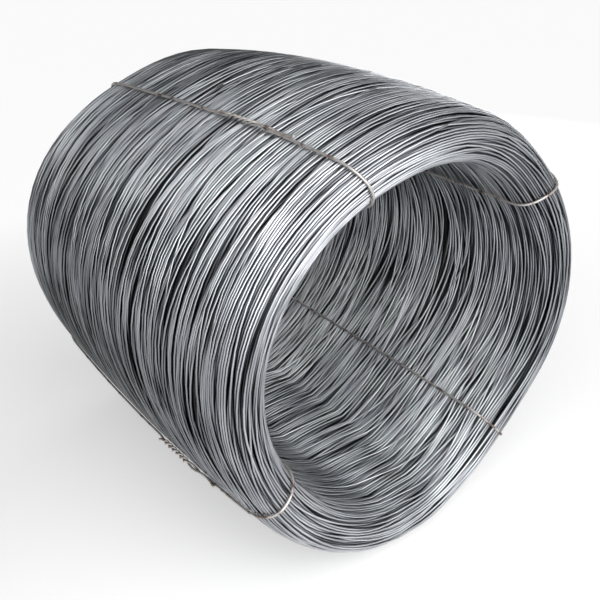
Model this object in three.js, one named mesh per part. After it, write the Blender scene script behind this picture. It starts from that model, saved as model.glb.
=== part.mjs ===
// A coil of hot-rolled wire rod lying on its side, held together by four tie wires.
//
// Millimetres and degrees. X runs across the coil, Y along its axis and Z up, and the origin is
// on the floor under the middle of the axis. The near end of the coil faces -Y. Angles round the
// coil are measured from its top towards +X.

import * as THREE from 'three';

// ---------- The pack of turns ----------

const COIL_RADIUS = 570; // outside of the pack at its ends, before the ties draw it in or out
const COIL_LENGTH = 1230; // end to end under a tie
const WALL = 128; // thickness of the pack between its outside and its bore
const AXIS_HEIGHT = 556; // the loose turns have settled until the axis is this high

const BELLY = 27; // the outside stands out this much more halfway along the coil
const BORE_BELLY = 8; // and the bore this much more
const TAPER = 2; // the near end is wider, and the far end narrower, by this much
const END_PUFF = 13; // each end stands out this much further midway between two ties
const END_CALM = 0.27; // share of the ties' effect that is lost at the ends

const SHOULDER = 88; // length of the rounded shoulder on the outside of each end
const BORE_SHOULDER = 76; // length of the rounded shoulder on the bore side
const NOSE_DEPTH = 46; // how far in from the outside an end stands out furthest

// ---------- The turns that show ----------

const OUTER_BANDS = 11; // bands of turns along the outside
const BORE_BANDS = 7; // bands of turns along the bore
const END_BANDS = 14; // bands of turns round each end, from the outside to the bore
const BAND_GAP = 14; // width of the gap between two bands
const ROD_DIAMETER = 6.5; // a gap on an end is one rod deep
const GAP_DEPTH = ROD_DIAMETER * (1 + Math.sqrt(3) / 2); // on a wall, two nested layers of rod

// ---------- The tie wires ----------

const TIE_DIAMETER = 6.5;
const TIE_CLEARANCE = 0.4; // between a tie and the turns that it lies on
const TIE_SIDES = 6;

// Each tie: its place round the coil, how far it stands from COIL_RADIUS, and how far the turns
// bulge out midway between it and the next tie.
const TIES = [
  { name: 'tie_wire_top', angle: -21.6, offset: 26, bulge: 26 },
  { name: 'tie_wire_right', angle: 51.1, offset: 46, bulge: 5 },
  { name: 'tie_wire_lower_right', angle: 137.9, offset: -74, bulge: 35 },
  { name: 'tie_wire_left', angle: 243.5, offset: -17, bulge: 33 },
];

// The knot: the two ends of a tie are twisted together on the outside of the coil
const KNOT_CENTRE = -195; // along the axis
const TWIST_TURNS = 3;
const TWIST_PITCH = 40;
const STRAND_GAP = 0.4; // between the two strands
const STEPS_PER_TWIST = 6;
const LONG_TAIL = 135; // the end that lies beside the run towards the near end of the coil
const SHORT_TAIL = 22; // the end that stops just past the twist

const TIE_LIFT = TIE_DIAMETER / 2 + TIE_CLEARANCE; // middle of a tie above the turns
const STRAND_OFFSET = (TIE_DIAMETER + STRAND_GAP) / 2; // middle of a strand from the twist's axis
const TWIST_LENGTH = TWIST_TURNS * TWIST_PITCH;

const COLUMNS_PER_TIE = 12; // facets of the coil from one tie to the next
const FULL_TURN = 360;

// ---------- The tied and settled shape ----------

// Takes a point of a plain turned ring to its place in the coil. turn counts ties round the
// coil, so 1.5 is midway between the second and the third. radius and along are the point's
// place in the plain ring.
function coilPoint(turn, radius, along) {
  const tie = Math.floor(turn);
  const share = turn - tie;
  const here = TIES[tie % TIES.length];
  const next = TIES[(tie + 1) % TIES.length];
  const span = (next.angle - here.angle + FULL_TURN) % FULL_TURN;
  const angle = THREE.MathUtils.degToRad(here.angle + span * share);

  const ease = (1 - Math.cos(Math.PI * share)) / 2;
  const swell = Math.sin(Math.PI * share) ** 2;
  const reach = along / (COIL_LENGTH / 2);
  const drawn = THREE.MathUtils.lerp(here.offset, next.offset, ease) + here.bulge * swell;
  const offset = drawn * (1 - END_CALM * reach ** 2) - TAPER * reach;

  const depth = (COIL_RADIUS - radius) / WALL;
  const middle = 1 - reach ** 2;
  const belly = THREE.MathUtils.lerp(BELLY, BORE_BELLY, depth) * middle;
  const outside = COIL_RADIUS + offset + BELLY * middle;
  const settled = Math.max(0, -AXIS_HEIGHT - outside * Math.cos(angle));

  const reached = radius + offset + belly;
  return new THREE.Vector3(
    reached * Math.sin(angle),
    along * (1 + (END_PUFF * swell) / (COIL_LENGTH / 2)),
    reached * Math.cos(angle) + settled + AXIS_HEIGHT,
  );
}

// ---------- The section of the wall ----------

// A point on the rounded end at +Y, lift above the surface. sweep runs from 0 on the outside,
// through a quarter turn at the nose, to a half turn in the bore.
function endPoint(sweep, lift) {
  const outer = sweep < Math.PI / 2;
  const across = outer ? NOSE_DEPTH : WALL - NOSE_DEPTH;
  const shoulder = outer ? SHOULDER : BORE_SHOULDER;
  const normal = new THREE.Vector2(shoulder * Math.cos(sweep), across * Math.sin(sweep)).normalize();
  return new THREE.Vector2(
    COIL_RADIUS - NOSE_DEPTH + across * Math.cos(sweep) + lift * normal.x,
    COIL_LENGTH / 2 - shoulder + shoulder * Math.sin(sweep) + lift * normal.y,
  );
}

function mirrored(points) {
  return points.map((point) => new THREE.Vector2(point.x, -point.y)).reverse();
}

// One wall of the pack from -Y to +Y: flat bands of turns with a gap after each but the last.
function wallPoints(radius, shoulder, bands, inward) {
  const start = shoulder - COIL_LENGTH / 2;
  const pitch = (-2 * start) / bands;
  const points = [];
  for (let band = 0; band < bands; band += 1) {
    const from = start + band * pitch;
    points.push(new THREE.Vector2(radius, from + BAND_GAP / 2));
    points.push(new THREE.Vector2(radius, from + pitch - BAND_GAP / 2));
    if (band < bands - 1) points.push(new THREE.Vector2(radius + inward * GAP_DEPTH, from + pitch));
  }
  return points;
}

// One rounded end from the outside to the bore: a crest for each band, a gap on each side of it.
function endPoints() {
  const points = [];
  for (let half = 0; half <= 2 * END_BANDS; half += 1) {
    const crest = half % 2 === 1;
    points.push(endPoint((Math.PI * half) / (2 * END_BANDS), crest ? 0 : -ROD_DIAMETER));
  }
  return points;
}

function wallSection() {
  const outside = wallPoints(COIL_RADIUS, SHOULDER, OUTER_BANDS, -1);
  const bore = wallPoints(COIL_RADIUS - WALL, BORE_SHOULDER, BORE_BANDS, 1);
  const farEnd = endPoints();
  return [...outside, ...farEnd, ...bore.reverse(), ...mirrored(farEnd)];
}

// ---------- The pieces ----------

function steel(color, roughness) {
  return new THREE.MeshStandardMaterial({ color, roughness, metalness: 1 });
}

// The pack is turned as a plain ring, and then each of its points moves to the tied shape.
function rodCoil() {
  const section = wallSection();
  section.push(section[0].clone());
  const columns = TIES.length * COLUMNS_PER_TIE;
  const geometry = new THREE.LatheGeometry(section, columns);
  const position = geometry.attributes.position;
  for (let index = 0; index < position.count; index += 1) {
    const column = Math.floor(index / section.length) % columns;
    const point = section[index % section.length];
    const moved = coilPoint(column / COLUMNS_PER_TIE, point.x, point.y);
    position.setXYZ(index, moved.x, moved.y, moved.z);
  }
  geometry.computeVertexNormals();
  const mesh = new THREE.Mesh(geometry, steel(0x8a8f94, 0.38));
  mesh.name = 'rod_coil';
  return mesh;
}

// A wire that is bent point by point, so that an extrusion along it has a step at each point.
class BentWire extends THREE.Curve {
  constructor(points) {
    super();
    this.points = points;
  }

  getPoint(share) {
    const place = share * (this.points.length - 1);
    const from = Math.min(Math.floor(place), this.points.length - 2);
    return this.points[from].clone().lerp(this.points[from + 1], place - from);
  }

  getPointAt(share) {
    return this.getPoint(share);
  }

  getTangentAt(share) {
    const nearest = Math.round(share * (this.points.length - 1));
    const before = this.points[Math.max(nearest - 1, 0)];
    const after = this.points[Math.min(nearest + 1, this.points.length - 1)];
    return after.clone().sub(before).normalize();
  }
}

// One strand of the twist, from its far end to its near end, as { side, radius, along }: side is
// how far a point lies sideways of the tie's place, and radius and along are its place in the
// plain ring. At both ends of the twist the two strands lie side by side.
function twistedStrand(startAngle) {
  const steps = Math.round(TWIST_TURNS * STEPS_PER_TWIST);
  const points = [];
  for (let step = 0; step <= steps; step += 1) {
    const twist = startAngle + (2 * Math.PI * TWIST_TURNS * step) / steps;
    points.push({
      side: STRAND_OFFSET * Math.cos(twist),
      radius: COIL_RADIUS + TIE_LIFT + STRAND_OFFSET * (1 + Math.sin(twist)),
      along: KNOT_CENTRE + TWIST_LENGTH * (0.5 - step / steps),
    });
  }
  return points;
}

// The tie over one end, from the outside to the bore: it bears on the crest of each band.
function tieOverEnd() {
  const points = [];
  for (let band = 0; band < END_BANDS; band += 1) {
    const at = endPoint((Math.PI * (band + 0.5)) / END_BANDS, TIE_LIFT);
    points.push({ side: 0, radius: at.x, along: at.y });
  }
  return points;
}

// The tie along one wall from -Y to +Y, with a bend at each gap between bands.
function tieAlongWall(radius, shoulder, bands) {
  const wallEnd = COIL_LENGTH / 2 - shoulder;
  const points = [];
  for (let gap = 0; gap <= bands; gap += 1) {
    points.push({ side: 0, radius, along: wallEnd * ((2 * gap) / bands - 1) });
  }
  return points;
}

// The whole tie from end to end: short tail, twist, outside, near end, bore, far end, outside,
// twist, long tail. Its two strands keep side by side until the tails end.
function tieRoute() {
  const fromFar = twistedStrand(0);
  const fromNear = twistedStrand(Math.PI);
  const farEnd = KNOT_CENTRE + TWIST_LENGTH / 2;
  const nearEnd = KNOT_CENTRE - TWIST_LENGTH / 2;
  const onTurns = COIL_RADIUS + TIE_LIFT;
  const nearJoin = { side: fromNear.at(-1).side, radius: onTurns, along: nearEnd - LONG_TAIL };
  const farJoin = { side: fromFar[0].side, radius: onTurns, along: farEnd + TWIST_PITCH };
  const outside = tieAlongWall(onTurns, SHOULDER, OUTER_BANDS).reverse();
  const bore = tieAlongWall(COIL_RADIUS - WALL - TIE_LIFT, BORE_SHOULDER, BORE_BANDS);
  const overEnd = tieOverEnd();
  return [
    { ...fromNear[0], along: farEnd + SHORT_TAIL },
    ...fromNear,
    nearJoin,
    ...outside.filter((stop) => stop.along < nearJoin.along - TWIST_PITCH),
    ...overEnd.map((stop) => ({ ...stop, along: -stop.along })),
    ...bore,
    ...overEnd.slice().reverse(),
    ...outside.filter((stop) => stop.along > farJoin.along + TWIST_PITCH),
    farJoin,
    ...fromFar,
    { side: fromFar.at(-1).side, radius: onTurns, along: nearEnd - LONG_TAIL },
  ];
}

function tieWire(tie, index) {
  const angle = THREE.MathUtils.degToRad(tie.angle);
  const sideways = new THREE.Vector3(Math.cos(angle), 0, -Math.sin(angle));
  const points = tieRoute().map(({ side, radius, along }) => (
    coilPoint(index, radius, along).addScaledVector(sideways, side)
  ));
  const section = new THREE.Shape();
  section.absarc(0, 0, TIE_DIAMETER / 2, 0, 2 * Math.PI);
  const geometry = new THREE.ExtrudeGeometry(section, {
    extrudePath: new BentWire(points),
    steps: points.length - 1,
    curveSegments: TIE_SIDES / 2,
  });
  const mesh = new THREE.Mesh(geometry, steel(0xa39c90, 0.5));
  mesh.name = tie.name;
  return mesh;
}

const coil = new THREE.Group();
coil.name = 'coil_of_wire_rod';
coil.add(rodCoil());
TIES.forEach((tie, index) => coil.add(tieWire(tie, index)));

export default coil;
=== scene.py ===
# A coil of hot-rolled steel wire rod that lies on its side, held by four twisted tie wires.

import math

import bmesh
import bpy
import numpy as np
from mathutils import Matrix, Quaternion, Vector


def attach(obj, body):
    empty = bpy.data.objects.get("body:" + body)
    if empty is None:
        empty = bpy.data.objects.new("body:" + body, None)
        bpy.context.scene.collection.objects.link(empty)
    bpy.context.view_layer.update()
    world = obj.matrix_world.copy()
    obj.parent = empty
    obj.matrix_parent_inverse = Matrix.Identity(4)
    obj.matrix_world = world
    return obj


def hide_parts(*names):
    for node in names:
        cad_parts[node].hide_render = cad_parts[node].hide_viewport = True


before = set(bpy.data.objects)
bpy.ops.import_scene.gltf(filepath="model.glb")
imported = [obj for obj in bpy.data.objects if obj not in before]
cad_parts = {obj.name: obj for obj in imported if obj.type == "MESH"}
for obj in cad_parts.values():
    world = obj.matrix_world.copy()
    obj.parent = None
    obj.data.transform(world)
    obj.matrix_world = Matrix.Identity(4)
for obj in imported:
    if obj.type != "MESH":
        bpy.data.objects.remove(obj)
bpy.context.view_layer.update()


# ---------- The view ----------
# Someone stands at the near end of the coil, a little to its left, and looks down into the bore.
# The camera leans by a couple of degrees, as one held in the hand does.

LENS_MM = 49.18
VIEW_AZIMUTH = math.radians(-35.31)
VIEW_ELEVATION = math.radians(26.95)
VIEW_LEAN = math.radians(-2.34)
VIEW_DISTANCE = 2.5591
VIEW_TARGET = Vector((0.0488, -0.0061, 0.4785))

towards_camera = Vector((
    math.sin(VIEW_AZIMUTH) * math.cos(VIEW_ELEVATION),
    -math.cos(VIEW_AZIMUTH) * math.cos(VIEW_ELEVATION),
    math.sin(VIEW_ELEVATION),
))
camera = bpy.data.objects.new("camera", bpy.data.cameras.new("camera"))
camera.data.lens = LENS_MM
camera.location = VIEW_TARGET + towards_camera * VIEW_DISTANCE
camera.rotation_mode = "QUATERNION"
camera.rotation_quaternion = (
    (-towards_camera).to_track_quat("-Z", "Y") @ Quaternion((0, 0, 1), VIEW_LEAN)
)
bpy.context.scene.collection.objects.link(camera)
bpy.context.scene.camera = camera


# ---------- The inner turns of the pack ----------
# Most of the rod lies out of sight within the pack, in turns that were dropped on each other and
# pressed together. Through the gaps between the outer turns they show only as near darkness, so
# one closed ring stands for them. It has the coil's tied and settled shape.

# Sizes and places are in metres and angles in degrees, here and in every section.
COIL_RADIUS = 0.570
COIL_LENGTH = 1.230
WALL = 0.128
AXIS_HEIGHT = 0.556
BELLY = 0.027            # how far the outside stands out at the middle of its length
BORE_BELLY = 0.008       # and the bore
TAPER = 0.002            # how much slimmer the far end is than the middle
END_PUFF = 0.013         # how far an end stands out between two ties
END_CALM = 0.27          # the share by which the ties shape an end less
SHOULDER = 0.088         # how far the rounding of an end reaches along the outside
BORE_SHOULDER = 0.076    # and along the bore
NOSE_DEPTH = 0.046       # how deep under the outside an end stands out furthest
SHOULDER_POINTS = 61
WALL_POINTS = 40

# Each tie's place round the coil, clockwise from the top as seen from the near end, how far out it
# holds the pack, and how far the pack bulges between it and the next tie.
TIE_NAMES = ("tie_wire_top", "tie_wire_right", "tie_wire_lower_right", "tie_wire_left")
TIE_ANGLES = np.array([-21.6, 51.1, 137.9, 243.5])
TIE_OFFSETS = np.array([0.026, 0.046, -0.074, -0.017])
TIE_BULGES = np.array([0.026, 0.005, 0.035, 0.033])

HEART_DEPTH = 0.0150     # how deep under the surface the ring of inner turns lies
HEART_COLUMNS = 72
HEART_ROWS = 120


def coil_points(angle, radius, along):
    """Where points of a plain turned ring lie in the tied and settled coil, angles in degrees."""
    angle = TIE_ANGLES[0] + np.mod(angle - TIE_ANGLES[0], 360.0)
    ends = np.append(TIE_ANGLES, TIE_ANGLES[0] + 360.0)
    tie = np.clip(np.searchsorted(ends, angle, side="right") - 1, 0, len(TIE_ANGLES) - 1)
    share = (angle - ends[tie]) / (ends[tie + 1] - ends[tie])
    ease = (1 - np.cos(np.pi * share)) / 2
    swell = np.sin(np.pi * share) ** 2
    reach = along / (COIL_LENGTH / 2)
    here, following = TIE_OFFSETS[tie], TIE_OFFSETS[(tie + 1) % len(TIE_OFFSETS)]
    drawn = here + (following - here) * ease + TIE_BULGES[tie] * swell
    offset = drawn * (1 - END_CALM * reach ** 2) - TAPER * reach
    middle = 1 - reach ** 2
    depth = (COIL_RADIUS - radius) / WALL
    reached = radius + offset + (BELLY + (BORE_BELLY - BELLY) * depth) * middle
    turned = np.radians(angle)
    outside = COIL_RADIUS + offset + BELLY * middle
    settled = np.maximum(0, -AXIS_HEIGHT - outside * np.cos(turned))
    return np.stack([
        reached * np.sin(turned),
        along * (1 + END_PUFF * swell / (COIL_LENGTH / 2)),
        reached * np.cos(turned) + settled + AXIS_HEIGHT,
    ], axis=-1)


def wall_section():
    """The section of the wall as radius and along, once round: outside, far end, bore, near end."""
    half = COIL_LENGTH / 2
    sweep = np.linspace(0, np.pi, SHOULDER_POINTS)
    outer = sweep < np.pi / 2
    across = np.where(outer, NOSE_DEPTH, WALL - NOSE_DEPTH)
    shoulder = np.where(outer, SHOULDER, BORE_SHOULDER)
    radius = COIL_RADIUS - NOSE_DEPTH + across * np.cos(sweep)
    along = half - shoulder + shoulder * np.sin(sweep)
    outside = np.linspace(SHOULDER - half, half - SHOULDER, WALL_POINTS)
    bore = np.linspace(half - BORE_SHOULDER, BORE_SHOULDER - half, WALL_POINTS)
    return np.concatenate([
        np.stack([np.full_like(outside, COIL_RADIUS), outside], axis=1)[:-1],
        np.stack([radius, along], axis=1)[:-1],
        np.stack([np.full_like(bore, COIL_RADIUS - WALL), bore], axis=1)[:-1],
        np.stack([radius, -along], axis=1)[::-1],
    ])


SECTION = wall_section()
SECTION_RUN = np.append(0, np.cumsum(np.linalg.norm(np.diff(SECTION, axis=0), axis=1)))
GIRTH = SECTION_RUN[-1]
section_heading = np.gradient(SECTION, SECTION_RUN, axis=0)
section_heading /= np.linalg.norm(section_heading, axis=1)[:, None]
SECTION_NORMAL = section_heading[:, ::-1] * (1, -1)


def on_section(run, depth):
    """Radius and along of a point that lies depth under the surface, run along the section."""
    run = np.mod(run, GIRTH)
    return [
        np.interp(run, SECTION_RUN, SECTION[:, axis])
        - depth * np.interp(run, SECTION_RUN, SECTION_NORMAL[:, axis])
        for axis in (0, 1)
    ]


def linear(hex_colour):
    """The linear colour of an sRGB hex value."""
    shares = [int(hex_colour[at:at + 2], 16) / 255 for at in (1, 3, 5)]
    return [
        share / 12.92 if share <= 0.04045 else ((share + 0.055) / 1.055) ** 2.4
        for share in shares
    ] + [1.0]


def add_node(material, kind, settings=None, links=None, stops=()):
    """Adds a node. Settings and links go by the name of a field or input, or an input's number.

    Stops are the places and the colours along a ramp.
    """
    tree = material.node_tree
    node = tree.nodes.new(kind)
    for name, value in (settings or {}).items():
        if isinstance(name, str) and hasattr(node, name):
            setattr(node, name, value)
        else:
            node.inputs[name].default_value = value
    for name, output in (links or {}).items():
        tree.links.new(output, node.inputs[name])
    if stops:
        elements = node.color_ramp.elements
        for place, _ in stops[1:-1]:
            elements.new(place)
        for element, (place, hex_colour) in zip(elements, stops):
            element.position = place
            element.color = linear(hex_colour)
    return node


def new_material(name):
    """A material and its shader."""
    material = bpy.data.materials.new(name)
    material.use_nodes = True
    return material, material.node_tree.nodes["Principled BSDF"]


def add_piece(name, mesh, material, slot, *nodes):
    """A finished piece of the object, which stands for the CAD nodes that are named."""
    piece = bpy.data.objects.new(name, mesh)
    bpy.context.scene.collection.objects.link(piece)
    mesh.materials.append(material)
    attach(piece, "root")
    if nodes:
        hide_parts(*nodes)
    return piece


# The section's points stand in columns round the coil, and each face joins two of them in one
# column to the same two in the next.
heart_angle = 360.0 * np.arange(HEART_COLUMNS)[:, None] / HEART_COLUMNS
heart_run = GIRTH * np.arange(HEART_ROWS) / HEART_ROWS
heart_points = coil_points(heart_angle, *on_section(heart_run, HEART_DEPTH))
here = np.arange(HEART_COLUMNS * HEART_ROWS).reshape(HEART_COLUMNS, HEART_ROWS)
beside = np.roll(here, -1, axis=0)
heart_faces = np.stack([here, beside, np.roll(beside, -1, axis=1), np.roll(here, -1, axis=1)], axis=2)
heart_mesh = bpy.data.meshes.new("inner_turns")
heart_mesh.from_pydata(heart_points.reshape(-1, 3), [], heart_faces.reshape(-1, 4))

# Steel rod in deep shade: its near-black colour is painted shade, with the odd dull line of scale in
# it.
SCALE_LINE_MM = 16.7
shaded_rod, shaded_shader = new_material("steel_rod_in_deep_shade")
shaded_place = add_node(shaded_rod, "ShaderNodeTexCoord")
scale_lines = add_node(
    shaded_rod, "ShaderNodeTexNoise", {"Scale": 1000 / SCALE_LINE_MM, "Detail": 3.0},
    {"Vector": shaded_place.outputs["Object"]})
line_shades = add_node(
    shaded_rod, "ShaderNodeValToRGB", links={"Fac": scale_lines.outputs["Fac"]},
    stops=((0.0, "#161718"), (1.0, "#2b2c2d")))
shaded_rod.node_tree.links.new(line_shades.outputs["Color"], shaded_shader.inputs["Base Color"])
shaded_shader.inputs["Roughness"].default_value = 0.8
add_piece("inner_turns", heart_mesh, shaded_rod, "wire_rod")


# ---------- The outer turns ----------
# One rod of hot-rolled steel, dropped in rings from the laying head of a mill. No ring lies quite
# on the one before it, so each comes up at the surface for part of the way round and then dives
# under its neighbours. What shows is a skin of such arcs, and it is laid here arc by arc.

ROD_DIAMETER = 0.0065
STATIONS = 80            # places round the coil at which the arcs are kept apart
SKIN_LAYERS = 3.3        # how many rods deep the arcs would lie if spread evenly
ROD_SPACING = 0.0068
SHORTEST_ARC = 34        # in stations
LONGEST_ARC = 72
MOST_ARCS = 100000       # far more than the skin takes
REST_DEPTH = 0.0006      # how deep the highest arcs lie
LIE_SPREAD = 0.0032      # how much deeper the others lie at their middles
DIVE = 0.015             # how much deeper each lies at its ends
DIVE_POWER = 1.7
DEEPEST = 2 * DIVE       # no rod is pushed deeper than this
SETTLING_ROUNDS = 90
NEIGHBOURS = 9           # a rod is kept clear of this many on either side
PUSH = 0.7               # share of an overlap that is undone in a round
STIFFNESS = 0.25         # share of its own unevenness that a rod loses in a round
LEAST_GAP = 1e-7         # stands between two rods in the very same place
LEAST_SHOWN = 6          # an arc with fewer stations than this in sight is left out
ROD_SIDES = 6
SUNK_DEPTH = 0.012       # at this depth a rod is in full shade
CALM_FROM = 0.32         # this near to an end, the turns begin to lie more tightly
END_WANDER = 0.35        # share of the wander that is left on the end itself

# How far each ring wanders on its own, along the section and in depth, as waves per arc and size.
WANDER = ((0.9, 0.019), (2.0, 0.014), (3.6, 0.0068))
DEPTH_WANDER = ((1.5, 0.0008),)
PACES = (0.8, 1.25)      # how much longer or shorter than these a ring's own waves may be
# Some rings lie loose on the outside, across the others, and wander by this much more.
LOOSE_SHARE = 0.06
LOOSE_ROOM = 0.0022      # how much deeper the other rings of the outside lie
LOOSE_WANDER = ((1.5, 0.026), (3.0, 0.016))
# How neighbours wander together: length of the wave along the section, waves round, and size.
DRIFTS = ((0.045, 2, 0.0022), (0.071, -3, 0.003), (0.113, 1, 0.005), (0.21, -2, 0.006))

outside_run = COIL_LENGTH - 2 * SHOULDER
bore_run = COIL_LENGTH - 2 * BORE_SHOULDER
end_run = (GIRTH - outside_run - bore_run) / 2
chance = np.random.default_rng(11)


def smooth_chance(count, length, waves):
    """A smooth random line for each arc of a count, from waves and their sizes."""
    share = np.linspace(0, 1, length)
    lines = np.zeros((count, length))
    for wave, amount in waves:
        phase = chance.uniform(0, 2 * np.pi, (count, 1))
        size = chance.normal(0, amount, (count, 1))
        pace = wave * chance.uniform(*PACES, (count, 1))
        lines += size * np.sin(2 * np.pi * pace * share + phase)
    return lines


def lay_arcs():
    """Run and depth of each arc at each of its stations, and which stations it has."""
    lengths = chance.integers(SHORTEST_ARC, LONGEST_ARC, MOST_ARCS)
    needed = SKIN_LAYERS * GIRTH / ROD_SPACING * STATIONS
    count = int(np.searchsorted(np.cumsum(lengths), needed))
    lengths = lengths[:count, None]
    start = chance.integers(0, STATIONS, (count, 1))
    golden = (math.sqrt(5) - 1) / 2  # steps of this share of the girth spread the arcs evenly
    base = (np.arange(count) * golden % 1.0 * GIRTH)[:, None]
    step = np.arange(LONGEST_ARC)[None, :]
    station = (start + step) % STATIONS
    from_middle = np.abs(2 * step / (lengths - 1) - 1)
    outside = base < outside_run
    loose = outside & (chance.random((count, 1)) < LOOSE_SHARE)
    to_end = (np.abs(on_section(base, 0)[1]) - (COIL_LENGTH / 2 - CALM_FROM)) / CALM_FROM
    calm = 1 + (END_WANDER - 1) * np.clip(to_end, 0, 1) ** 2
    lie = np.where(loose, 0, chance.uniform(0, LIE_SPREAD, (count, 1)) + LOOSE_ROOM * outside)
    depth = calm * lie + DIVE * from_middle ** DIVE_POWER
    depth += smooth_chance(count, LONGEST_ARC, DEPTH_WANDER)
    run = base + calm * smooth_chance(count, LONGEST_ARC, WANDER)
    run += calm * loose * smooth_chance(count, LONGEST_ARC, LOOSE_WANDER)
    for wavelength, waves, amount in DRIFTS:
        phase = 2 * np.pi * (base / wavelength + waves * station / STATIONS)
        run = run + calm * amount * np.sin(phase + chance.uniform(0, 2 * np.pi))
    return run, np.maximum(depth, REST_DEPTH), station, step < lengths, lengths[:, 0]


def push_apart(run, depth, column):
    """How far rods that share the same room in a column push each other, along and down."""
    along = np.mod(run, GIRTH)
    order = np.lexsort((along, column))
    along, down, column = along[order], depth[order], column[order]
    push_along, push_down = np.zeros_like(along), np.zeros_like(down)
    for neighbour in range(1, NEIGHBOURS + 1):
        gap = along[neighbour:] - along[:-neighbour]
        drop = down[neighbour:] - down[:-neighbour]
        apart = np.hypot(gap, drop) + LEAST_GAP
        close = (column[neighbour:] == column[:-neighbour]) & (apart < ROD_DIAMETER)
        push = np.where(close, 0.5 * (ROD_DIAMETER - apart) / apart, 0.0)
        push_along[neighbour:] += push * gap
        push_along[:-neighbour] -= push * gap
        push_down[neighbour:] += push * drop
        push_down[:-neighbour] -= push * drop
    back = np.empty_like(order)
    back[order] = np.arange(len(order))
    return push_along[back], push_down[back]


def smooth(lines, laid, share):
    """Draws lines a share of the way to their own running means."""
    middle = (lines[:, :-2] + 2 * lines[:, 1:-1] + lines[:, 2:]) / 4
    inner = laid[:, 2:] & laid[:, :-2]
    lines[:, 1:-1] += np.where(inner, share * (middle - lines[:, 1:-1]), 0)


def settle(run, depth, station, laid):
    """Pushes arcs apart, at the stations and midway between them, and keeps them smooth."""
    at = np.nonzero(laid)
    midway = np.nonzero(laid[:, 1:] & laid[:, :-1])
    onward = (midway[0], midway[1] + 1)
    for _ in range(SETTLING_ROUNDS):
        along, down = push_apart(run[at], depth[at], station[at])
        run[at] += PUSH * along
        depth[at] += PUSH * down
        along, down = push_apart(
            (run[midway] + run[onward]) / 2, (depth[midway] + depth[onward]) / 2, station[midway])
        for beside in (midway, onward):
            run[beside] += PUSH / 2 * along
            depth[beside] += PUSH / 2 * down
        smooth(run, laid, STIFFNESS)
        smooth(depth, laid, STIFFNESS)
        depth = np.clip(depth, REST_DEPTH, DEEPEST)
    smooth(run, laid, 1.0)
    smooth(depth, laid, 1.0)
    return run, depth


def uncovered(run, depth, station, lengths):
    """The part of each arc about its middle that lies above the inner turns."""
    step = np.arange(LONGEST_ARC)[None, :]
    middle = lengths[:, None] // 2
    hidden = (step >= lengths[:, None]) | (depth > HEART_DEPTH)
    first = np.where(hidden & (step < middle), step, -1).max(axis=1) + 1
    following = np.where(hidden & (step >= middle), step, LONGEST_ARC).min(axis=1)
    kept = following - first >= LEAST_SHOWN
    moved = np.minimum(first[kept, None] + step, LONGEST_ARC - 1)
    run, depth, station = (np.take_along_axis(values[kept], moved, axis=1)
                           for values in (run, depth, station))
    lengths = (following - first)[kept]
    return run, depth, station, step < lengths[:, None], lengths


def rods_mesh(name, centres, outward, sunk, scaled, laid, lengths, tone):
    """Rods along rows of centres, each closed at both ends, joined in one mesh.

    Sunk is how deep each centre counts as lying, and scaled how much faster a rod darkens from its
    crest down; both set painted shade. The mesh carries both as one attribute, and the rods' tones as
    another.
    """
    count, longest = laid.shape
    last = (np.arange(count), lengths - 1)
    heading = np.gradient(centres, axis=1)
    heading[last] = centres[last] - centres[last[0], last[1] - 1]
    heading /= np.linalg.norm(heading, axis=2)[..., None]
    sideways = np.cross(heading, outward)
    sideways /= np.linalg.norm(sideways, axis=2)[..., None]
    upward = np.cross(sideways, heading)
    turn = 2 * np.pi * np.arange(ROD_SIDES) / ROD_SIDES
    corners = centres[:, :, None, :] + ROD_DIAMETER / 2 * (
        np.cos(turn)[:, None] * upward[:, :, None, :]
        + np.sin(turn)[:, None] * sideways[:, :, None, :]
    )
    corner_sunk = sunk[:, :, None] + scaled[:, :, None] * ROD_DIAMETER / 2 * (1 - np.cos(turn))
    at = np.nonzero(laid)
    corners = corners[at].reshape(-1, 3)
    number = -np.ones((count, longest), int)
    number[at] = np.arange(len(at[0]))
    joined = (number[:, :-1] >= 0) & (number[:, 1:] >= 0)
    near, far = number[:, :-1][joined] * ROD_SIDES, number[:, 1:][joined] * ROD_SIDES
    side = np.arange(ROD_SIDES)
    following = (side + 1) % ROD_SIDES
    faces = np.stack([
        near[:, None] + side, near[:, None] + following,
        far[:, None] + following, far[:, None] + side,
    ], axis=2).reshape(-1, 4)
    start_caps = number[:, :1] * ROD_SIDES + side[::-1]
    end_caps = number[last][:, None] * ROD_SIDES + side
    caps = np.concatenate([start_caps, end_caps])

    mesh = bpy.data.meshes.new(name)
    mesh.vertices.add(len(corners))
    mesh.vertices.foreach_set("co", corners.astype(np.float32).ravel())
    mesh.loops.add(faces.size + caps.size)
    mesh.loops.foreach_set("vertex_index", np.append(faces.ravel(), caps.ravel()).astype(np.int32))
    mesh.polygons.add(len(faces) + len(caps))
    mesh.polygons.foreach_set("loop_start", np.append(
        np.arange(len(faces)) * 4, faces.size + np.arange(len(caps)) * ROD_SIDES).astype(np.int32))
    mesh.polygons.foreach_set("use_smooth", np.ones(len(faces) + len(caps), bool))
    mesh.update(calc_edges=True)
    for field_name, values in (
        ("tone", np.repeat(tone[at], ROD_SIDES)),
        ("sunk", np.clip(corner_sunk[at].ravel() / SUNK_DEPTH, 0, 1)),
    ):
        field = mesh.attributes.new(field_name, "FLOAT", "POINT")
        field.data.foreach_set("value", values.astype(np.float32))
    return mesh


def near_run(run, middle, reach):
    """How fully runs lie within reach of a middle: 1 inside, fading to 0 over RUN_FADE."""
    away = np.abs(np.mod(run - middle + GIRTH / 2, GIRTH) - GIRTH / 2)
    return np.clip((reach - away) / RUN_FADE + 0.5, 0, 1)


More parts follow.
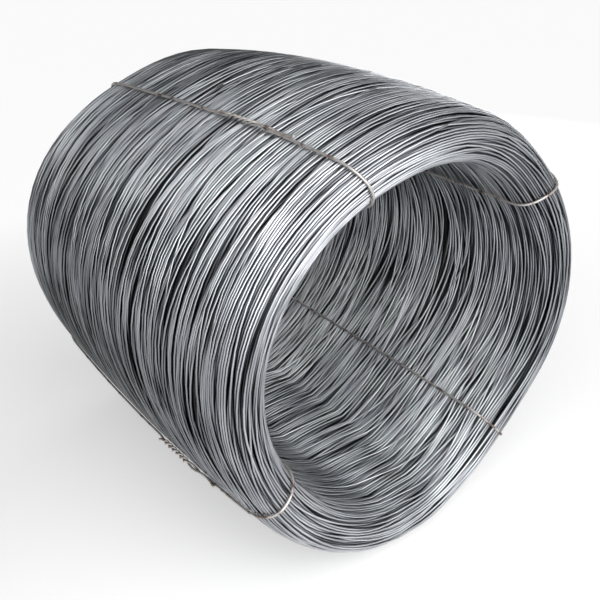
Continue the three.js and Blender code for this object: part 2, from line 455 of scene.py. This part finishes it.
run, depth, station, laid, lengths = lay_arcs()
run, depth = settle(run, depth, station, laid)
run, depth, station, laid, lengths = uncovered(run, depth, station, lengths)
angle = TIE_ANGLES[0] + 360.0 * station / STATIONS
centres = coil_points(angle, *on_section(run, depth + ROD_DIAMETER / 2))
outward = coil_points(angle, *on_section(run, depth)) - centres

# A rod's tone runs from 0, darkest, to 1, brightest. Each turn's own tone differs at random, and
# painted shade and painted light by region are taken off it and added to it below. Each row of places
# has a row of what holds there, and between two places it changes evenly.
MEAN_TONE = 0.78
TONE_SPREAD = 0.16       # each turn's own, up or down
RUN_FADE = 0.12
# Painted shade: the outside is darker low down, and less so on the right.
LOW_HEIGHTS = (0.58, 0.84)
LOW_SHADE = 0.50
LOW_ACROSS = (0.0, 0.4)
LOW_SHARES = (1.0, 0.3)
# Painted shade: it is also darker towards the far end, most of all high on the left.
FAR_ALONG = (-0.62, 0.18)
LEFT_TO_TOP = (-0.60, -0.52, -0.44, -0.32, -0.12, 0.25)
FAR_SHADE = (0.20, 0.24, 0.38, 0.56, 0.48, 0.22)
# Painted shade on the rim of the near end, which is darker to the right and brightest on the left.
RIM_MIDDLE = 0.35        # how far back from the outside it is, in shares of the end's run
RIM_REACH = 0.85         # in the same shares
RIM_HEIGHTS = (0.0, 0.55)
LEFT_TO_RIGHT = (-0.32, -0.05, 0.12, 0.40)
RIM_SHADE = (0.0, 0.24, 0.10, 0.28)
# Painted light: the bore is a little brighter all over. Painted shade: its floor is darker about the
# middle of its run, more so to the right.
BORE_BRIGHTER = 0.12
FLOOR_HEIGHTS = (0.20, 0.55)
FLOOR_MIDDLE = 0.68      # in shares of the bore's run, from the far end
FLOOR_REACH = 0.24
FLOOR_ACROSS = (-0.24, 0.16)
FLOOR_SHADE = 0.38

# Painted shade down the flanks of the turns and on the turns beneath them: how fast a turn darkens
# from its crest down, and how deep a turn counts as lying, both as multiples of what holds elsewhere.
# Both are most low on the left, and less over the top and on the floor of the bore.
FLANKS_SCALED = (2.5, 2.0, 0.9, 0.6, 0.5, 1.3)
GAPS_SCALED = (1.3, 1.1, 0.85, 0.7, 0.6, 1.0)
FLOOR_FLANKS_LESS = 0.5
FLOOR_GAPS_LESS = 0.4

across, along, height = np.moveaxis(centres, -1, 0)
on_outside = near_run(run, outside_run / 2, outside_run / 2)
in_bore = near_run(run, outside_run + end_run + bore_run / 2, bore_run / 2)
on_rim = near_run(run, GIRTH - RIM_MIDDLE * end_run, RIM_REACH * end_run)
on_outside_or_rim = near_run(run, (outside_run - end_run) / 2, (outside_run + end_run) / 2)
on_floor = in_bore * np.interp(height, FLOOR_HEIGHTS, (1, 0))
amid_bore = near_run(run, outside_run + end_run + FLOOR_MIDDLE * bore_run, FLOOR_REACH)

# Painted shade and painted light by region, taken off each turn's own tone.
painted_light_and_shade = on_outside * LOW_SHADE * np.interp(height, LOW_HEIGHTS, (1, 0))
painted_light_and_shade *= np.interp(across, LOW_ACROSS, LOW_SHARES)
painted_light_and_shade += on_outside * np.interp(along, FAR_ALONG, (0, 1)) * np.interp(across, LEFT_TO_TOP, FAR_SHADE)
painted_light_and_shade += on_rim * np.interp(height, RIM_HEIGHTS, (0, 1)) * np.interp(across, LEFT_TO_RIGHT, RIM_SHADE)
painted_light_and_shade += on_floor * amid_bore * FLOOR_SHADE * np.interp(across, FLOOR_ACROSS, (0, 1))
painted_light_and_shade -= in_bore * BORE_BRIGHTER
own_tone = chance.uniform(MEAN_TONE - TONE_SPREAD, MEAN_TONE + TONE_SPREAD, (len(lengths), 1))
tone = np.clip(own_tone - painted_light_and_shade, 0, 1)

# Painted shade: how fast each turn darkens down its flanks, and how deep it counts as lying.
scaled = 1 + on_outside_or_rim * (np.interp(across, LEFT_TO_TOP, FLANKS_SCALED) - 1)
scaled -= on_floor * FLOOR_FLANKS_LESS
gaps = 1 + on_outside_or_rim * (np.interp(across, LEFT_TO_TOP, GAPS_SCALED) - 1)
sunk = (depth - LOOSE_ROOM * on_outside) * (gaps - on_floor * FLOOR_GAPS_LESS)

# Hot-rolled low-carbon steel rod with a thin grey scale, lighter and darker in patches about a hand
# wide. Painted shade darkens each outer turn down its flanks from its crest, and the turns beneath
# them, and the tone carries the painted light and shade of each region.
PATCH_MM = 111
rod_steel, rod_shader = new_material("hot_rolled_steel_rod_painted_shade")
rod_place = add_node(rod_steel, "ShaderNodeTexCoord")
tone_field = add_node(rod_steel, "ShaderNodeAttribute", {"attribute_name": "tone"})
sunk_field = add_node(rod_steel, "ShaderNodeAttribute", {"attribute_name": "sunk"})
turn_shades = add_node(
    rod_steel, "ShaderNodeValToRGB", links={"Fac": tone_field.outputs["Fac"]},
    stops=((0.0, "#4f5254"), (0.5, "#b4b7bb"), (1.0, "#e6e8eb")))
patches = add_node(
    rod_steel, "ShaderNodeTexNoise", {"Scale": 1000 / PATCH_MM, "Detail": 4.0},
    {"Vector": rod_place.outputs["Object"]})
patch_shades = add_node(
    rod_steel, "ShaderNodeValToRGB", links={"Fac": patches.outputs["Fac"]},
    stops=((0.35, "#d9d9db"), (0.65, "#ffffff")))
# Painted shade: white at an outer turn's crest, darker down its flanks and on deeper turns.
depth_shades = add_node(
    rod_steel, "ShaderNodeValToRGB", links={"Fac": sunk_field.outputs["Fac"]},
    stops=((0.05, "#ffffff"), (0.24, "#c5c6c8"), (0.50, "#515254"), (1.0, "#1a1c1d")))
# A mix node takes colours at its inputs 6 and 7, and gives them at its output 2.
MULTIPLIED = {"data_type": "RGBA", "blend_type": "MULTIPLY", 0: 1.0}
patched = add_node(rod_steel, "ShaderNodeMix", MULTIPLIED, {
    6: turn_shades.outputs["Color"], 7: patch_shades.outputs["Color"],
})
darkened = add_node(rod_steel, "ShaderNodeMix", MULTIPLIED, {
    6: patched.outputs[2], 7: depth_shades.outputs["Color"],
})
rod_steel.node_tree.links.new(darkened.outputs[2], rod_shader.inputs["Base Color"])
rod_shader.inputs["Metallic"].default_value = 1.0
rod_shader.inputs["Roughness"].default_value = 0.37

# The arcs go by where their middles lie, in six meshes that each end at a run along the section.
TURN_GROUPS = {
    "turns_outside_near": outside_run / 2,
    "turns_outside_far": outside_run,
    "turns_far_end": outside_run + end_run,
    "turns_bore_far": outside_run + end_run + bore_run / 2,
    "turns_bore_near": outside_run + end_run + bore_run,
    "turns_near_end": GIRTH,
}
middle_run = np.mod(run[np.arange(len(run)), lengths // 2], GIRTH)
group = np.searchsorted(list(TURN_GROUPS.values()), middle_run)
for index, name in enumerate(TURN_GROUPS):
    own = group == index
    turns_mesh = rods_mesh(
        name, centres[own], outward[own], sunk[own], scaled[own], laid[own], lengths[own], tone[own])
    add_piece(name, turns_mesh, rod_steel, "wire_rod", "rod_coil")


# ---------- The tie wires ----------
# Four ties of soft annealed steel wire, each bent once round the wall by a tying machine: along
# the outside, over one end, back through the bore and over the other end. Each wire's two ends
# are twisted together on the outside and cut, one short and one long.

TIE_DIAMETER = 0.0065
TIE_LIFT = TIE_DIAMETER / 2 + 0.0002       # just clear of the turns
STRAND_OFFSET = TIE_DIAMETER / 2 + 0.0004  # just clear of the other strand
KNOT_CENTRE = -0.195     # from the middle of the outside, towards the near end
TIGHT_TURNS = 3
TWIST_PITCH = 0.040
LOOSE_TWIST = 0.066      # the last half turn is drawn out
LOOSE_OFFSET = 0.0012    # and opens this much wider
LONG_TAIL = 0.078
LONG_TAIL_RISE = 0.007
LONG_TAIL_SIDE = 0.002
LONG_TAIL_SHARES = (0.25, 0.5, 0.75, 1.0)
SHORT_TAIL = 0.024
SHORT_TAIL_RISE = 0.006
SHORT_TAIL_SIDE = 0.006
SHORT_TAIL_SHARES = (1.0, 0.7, 0.4)
STEPS_PER_TURN = 14
TWIST_REACH = TIGHT_TURNS * TWIST_PITCH / 2
TWIST_END_ROOM = 0.03    # between the twist and the first point of the plain wire
WALL_STEP = 0.018
TIE_RESOLUTION = 4
# Painted shade darkens the twist's crevices. How far from the middle of the twist the wire comes out of
# the crevice, and over what length.
CREVICE_REACH = 0.0012
CREVICE_FADE = 0.0068
TWIST_SAMPLES = 80

# No tie lies quite in one plane. These are degrees round the coil at runs along the section,
# counted from where the outside meets the near end.
LEAN_RUNS = (-1.30, -1.10, -0.67, -0.39, -0.23, -0.14, -0.07, 0.0, 0.25, 0.52, 0.80, 1.07, 1.30)
TIE_LEANS = (
    (0.0, 0.6, 1.2, 1.6, 1.6, 1.4, 0.0, -0.5, -0.5, -1.2, -1.4, -0.7, 0.0),
    (0.0, -0.4, -1.0, -1.6, -1.6, -0.8, 1.2, 1.0, 0.8, 0.6, 0.4, 0.2, 0.0),
    (-1.4, -1.6, -0.7, 0.1, 0.9, 1.4, 1.6, 1.4, 1.0, 0.5, 0.0, -0.7, -1.4),
    (0.0, 0.8, 1.4, 1.6, 1.6, 0.8, 0.0, -1.0, -1.6, -1.6, -1.6, -0.8, 0.0),
)


def tie_points(index, places):
    """Points of a tie in the coil. places has side, lift above the turns and run, a row each."""
    side, lift, run = np.array(places).T
    radius, along = on_section(run, -lift)
    lean = np.interp(np.mod(run + GIRTH / 2, GIRTH) - GIRTH / 2, LEAN_RUNS, TIE_LEANS[index])
    angle = math.radians(TIE_ANGLES[index])
    sideways = np.array([math.cos(angle), 0, -math.sin(angle)])
    return coil_points(TIE_ANGLES[index] + lean, radius, along) + side[:, None] * sideways


def tie_places():
    """One tie from its short tail to its long tail, as side, lift and run."""
    knot = KNOT_CENTRE + outside_run / 2
    tight = TIGHT_TURNS * TWIST_PITCH
    twist_start = knot + tight / 2
    twist_end = twist_start - tight - LOOSE_TWIST
    tight_steps = TIGHT_TURNS * STEPS_PER_TURN

    def strand(first):
        """One of the two strands of the twist, first being where round it the strand starts."""
        rows = []
        for step in range(tight_steps + STEPS_PER_TURN // 2 + 1):
            turned = first - 2 * math.pi * step / STEPS_PER_TURN
            loose = max(0, step - tight_steps) / (STEPS_PER_TURN // 2)
            back = min(step, tight_steps) / tight_steps * tight + loose * LOOSE_TWIST
            reach = STRAND_OFFSET + LOOSE_OFFSET * math.sin(math.pi * loose)
            rows.append((
                reach * math.cos(turned),
                TIE_LIFT + STRAND_OFFSET * (1 + math.sin(turned)),
                twist_start - back,
            ))
        return rows

    from_short = strand(0)
    from_far = strand(math.pi)
    short_tail = [
        (from_short[0][0] - SHORT_TAIL_SIDE * share, TIE_LIFT + SHORT_TAIL_RISE * share + STRAND_OFFSET,
         twist_start + SHORT_TAIL * math.sin(share * math.pi / 2))
        for share in SHORT_TAIL_SHARES
    ]
    leave = twist_end - TWIST_END_ROOM
    join = twist_start + TWIST_END_ROOM - GIRTH
    wall = [
        (0.0, TIE_LIFT, run)
        for run in np.linspace(leave, join, int((leave - join) / WALL_STEP))
    ]
    long_tail = [
        (from_far[-1][0] + LONG_TAIL_SIDE * share,
         TIE_LIFT + LONG_TAIL_RISE * share ** 2,
         twist_end - LONG_TAIL * share)
        for share in LONG_TAIL_SHARES
    ]
    return short_tail + from_short + wall + from_far + long_tail


def wire_mesh(name, points, diameter):
    """A round wire through the points, closed at both ends."""
    curve = bpy.data.curves.new(name, "CURVE")
    curve.dimensions = "3D"
    curve.bevel_depth = diameter / 2
    curve.bevel_resolution = TIE_RESOLUTION
    curve.use_fill_caps = True
    spline = curve.splines.new("NURBS")
    spline.points.add(len(points) - 1)
    spline.points.foreach_set("co", np.c_[points, np.ones(len(points))].ravel())
    spline.use_endpoint_u = True
    spline.order_u = 3
    spline.resolution_u = 2
    holder = bpy.data.objects.new(name, curve)
    mesh = bpy.data.meshes.new_from_object(holder)
    bpy.data.objects.remove(holder)
    bpy.data.curves.remove(curve)
    return mesh


# Soft annealed steel wire: a warm grey from the furnace, part bare metal and part matt scale, with
# a little rust. It is a little brighter about the knot, and painted shade darkens the knot's crevices.
RUST_SPOT_MM = 28.6
tie_steel, tie_shader = new_material("annealed_steel_tie_wire")
tie_place = add_node(tie_steel, "ShaderNodeTexCoord")
rust_spots = add_node(
    tie_steel, "ShaderNodeTexNoise", {"Scale": 1000 / RUST_SPOT_MM, "Detail": 5.0},
    {"Vector": tie_place.outputs["Object"]})
wire_shades = add_node(
    tie_steel, "ShaderNodeValToRGB", links={"Fac": rust_spots.outputs["Fac"]},
    stops=((0.34, "#80695e"), (0.48, "#d8d3cf")))
opened_field = add_node(tie_steel, "ShaderNodeAttribute", {"attribute_name": "opened"})
crevice_shades = add_node(
    tie_steel, "ShaderNodeValToRGB", links={"Fac": opened_field.outputs["Fac"]},
    stops=((0.0, "#332f2c"), (0.28, "#ffffff"), (0.55, "#ffffff"), (0.85, "#e2e2e2")))
wire_colour = add_node(tie_steel, "ShaderNodeMix", MULTIPLIED, {
    6: wire_shades.outputs["Color"], 7: crevice_shades.outputs["Color"],
})
tie_steel.node_tree.links.new(wire_colour.outputs[2], tie_shader.inputs["Base Color"])
tie_shader.inputs["Metallic"].default_value = 0.75
tie_shader.inputs["Roughness"].default_value = 0.45

twist_middle = [
    (0, TIE_LIFT + STRAND_OFFSET, KNOT_CENTRE + outside_run / 2 + from_knot)
    for from_knot in np.linspace(-TWIST_REACH - LOOSE_TWIST, TWIST_REACH, TWIST_SAMPLES)
]
for index, name in enumerate(TIE_NAMES):
    tie_mesh = wire_mesh(name + "_wire", tie_points(index, tie_places()), TIE_DIAMETER)
    tie_mesh.polygons.foreach_set("use_smooth", np.ones(len(tie_mesh.polygons), bool))
    on_wire = np.array([vert.co[:] for vert in tie_mesh.vertices])
    from_twist = on_wire[:, None, :] - tie_points(index, twist_middle)[None, :, :]
    from_twist = np.linalg.norm(from_twist, axis=2).min(axis=1)
    # Opened is 0 deep in the twist's crevices, where painted shade darkens the wire.
    opened = np.clip((from_twist - CREVICE_REACH) / CREVICE_FADE, 0, 1)
    opened_values = tie_mesh.attributes.new("opened", "FLOAT", "POINT")
    opened_values.data.foreach_set("value", opened.astype(np.float32))
    add_piece(name + "_wire", tie_mesh, tie_steel, "tie_wire", name)


# ---------- The studio ----------
# A plain pale floor of matt board that runs out of sight, under broad soft lamps and an even sky.
# Four lamps stand in front of the coil, low and high, and one on its right. None of this is part
# of the coil.

FLOOR_SIZE = 60.0
LAMPLIT_REACH = 1.0      # the lamps light the floor fully to here
FADED_REACH = 2.6        # and hardly beyond here
LAMPLIT_OWN_WHITE = 0.50
FADED_OWN_WHITE = 0.95
SKY_STRENGTH = 0.12

slab = bmesh.new()
bmesh.ops.create_grid(slab, x_segments=1, y_segments=1, size=FLOOR_SIZE / 2)
floor_mesh = bpy.data.meshes.new("floor")
slab.to_mesh(floor_mesh)
slab.free()
floor = bpy.data.objects.new("floor", floor_mesh)
bpy.context.scene.collection.objects.link(floor)

# Matt white board. Where it is looked at, mirrored or seen through something, part of its white is
# its own, and more of it where the lamplight has faded.
white_board, board_shader = new_material("matt_white_board")
board_shader.inputs["Base Color"].default_value = linear("#fcfcfc")
board_shader.inputs["Roughness"].default_value = 1.0
ray = add_node(white_board, "ShaderNodeLightPath")
looked_at = add_node(white_board, "ShaderNodeMath", {"operation": "MAXIMUM"}, {
    0: ray.outputs["Is Camera Ray"], 1: ray.outputs["Is Glossy Ray"],
})
seen = add_node(white_board, "ShaderNodeMath", {"operation": "MAXIMUM"}, {
    0: looked_at.outputs[0], 1: ray.outputs["Is Transmission Ray"],
})
board_place = add_node(white_board, "ShaderNodeTexCoord")
from_coil = add_node(
    white_board, "ShaderNodeVectorMath", {"operation": "LENGTH"},
    {"Vector": board_place.outputs["Object"]})
own_white_there = add_node(white_board, "ShaderNodeMapRange", {
    "From Min": LAMPLIT_REACH, "From Max": FADED_REACH,
    "To Min": LAMPLIT_OWN_WHITE, "To Max": FADED_OWN_WHITE,
}, {"Value": from_coil.outputs["Value"]})
own_share = add_node(white_board, "ShaderNodeMath", {"operation": "MULTIPLY"}, {
    0: seen.outputs[0], 1: own_white_there.outputs["Result"],
})
own_white = add_node(white_board, "ShaderNodeEmission")
board_mix = add_node(white_board, "ShaderNodeMixShader", links={
    0: own_share.outputs[0], 1: board_shader.outputs[0], 2: own_white.outputs[0],
})
white_board.node_tree.links.new(
    board_mix.outputs[0], white_board.node_tree.nodes["Material Output"].inputs["Surface"])
floor_mesh.materials.append(white_board)

world = bpy.data.worlds.new("sky")
bpy.context.scene.world = world
world.use_nodes = True
sky = world.node_tree.nodes["Background"]
sky.inputs["Color"].default_value = linear("#ffffff")
sky.inputs["Strength"].default_value = SKY_STRENGTH


def add_lamp(name, azimuth, elevation, distance, size, power):
    """A square soft lamp that faces the coil from an azimuth and an elevation in degrees."""
    lamp = bpy.data.objects.new(name, bpy.data.lights.new(name, "AREA"))
    lamp.data.size = size
    lamp.data.energy = power
    turned, raised = math.radians(azimuth), math.radians(elevation)
    towards = Vector((
        math.sin(turned) * math.cos(raised), -math.cos(turned) * math.cos(raised), math.sin(raised)))
    lamp.location = Vector((0, 0, AXIS_HEIGHT)) + distance * towards
    lamp.rotation_mode = "QUATERNION"
    lamp.rotation_quaternion = (-towards).to_track_quat("-Z", "Y")
    bpy.context.scene.collection.objects.link(lamp)


add_lamp("front_lamp", azimuth=12, elevation=20, distance=4.0, size=3.0, power=95)
add_lamp("front_high_lamp", azimuth=0, elevation=50, distance=4.0, size=3.0, power=20)
add_lamp("high_lamp", azimuth=-33, elevation=45, distance=2.8, size=2.6, power=62)
add_lamp("left_lamp", azimuth=-38, elevation=12, distance=2.5, size=1.3, power=16)
add_lamp("right_lamp", azimuth=110, elevation=15, distance=4.0, size=3.0, power=80)

bpy.context.scene.view_settings.view_transform = "Standard"
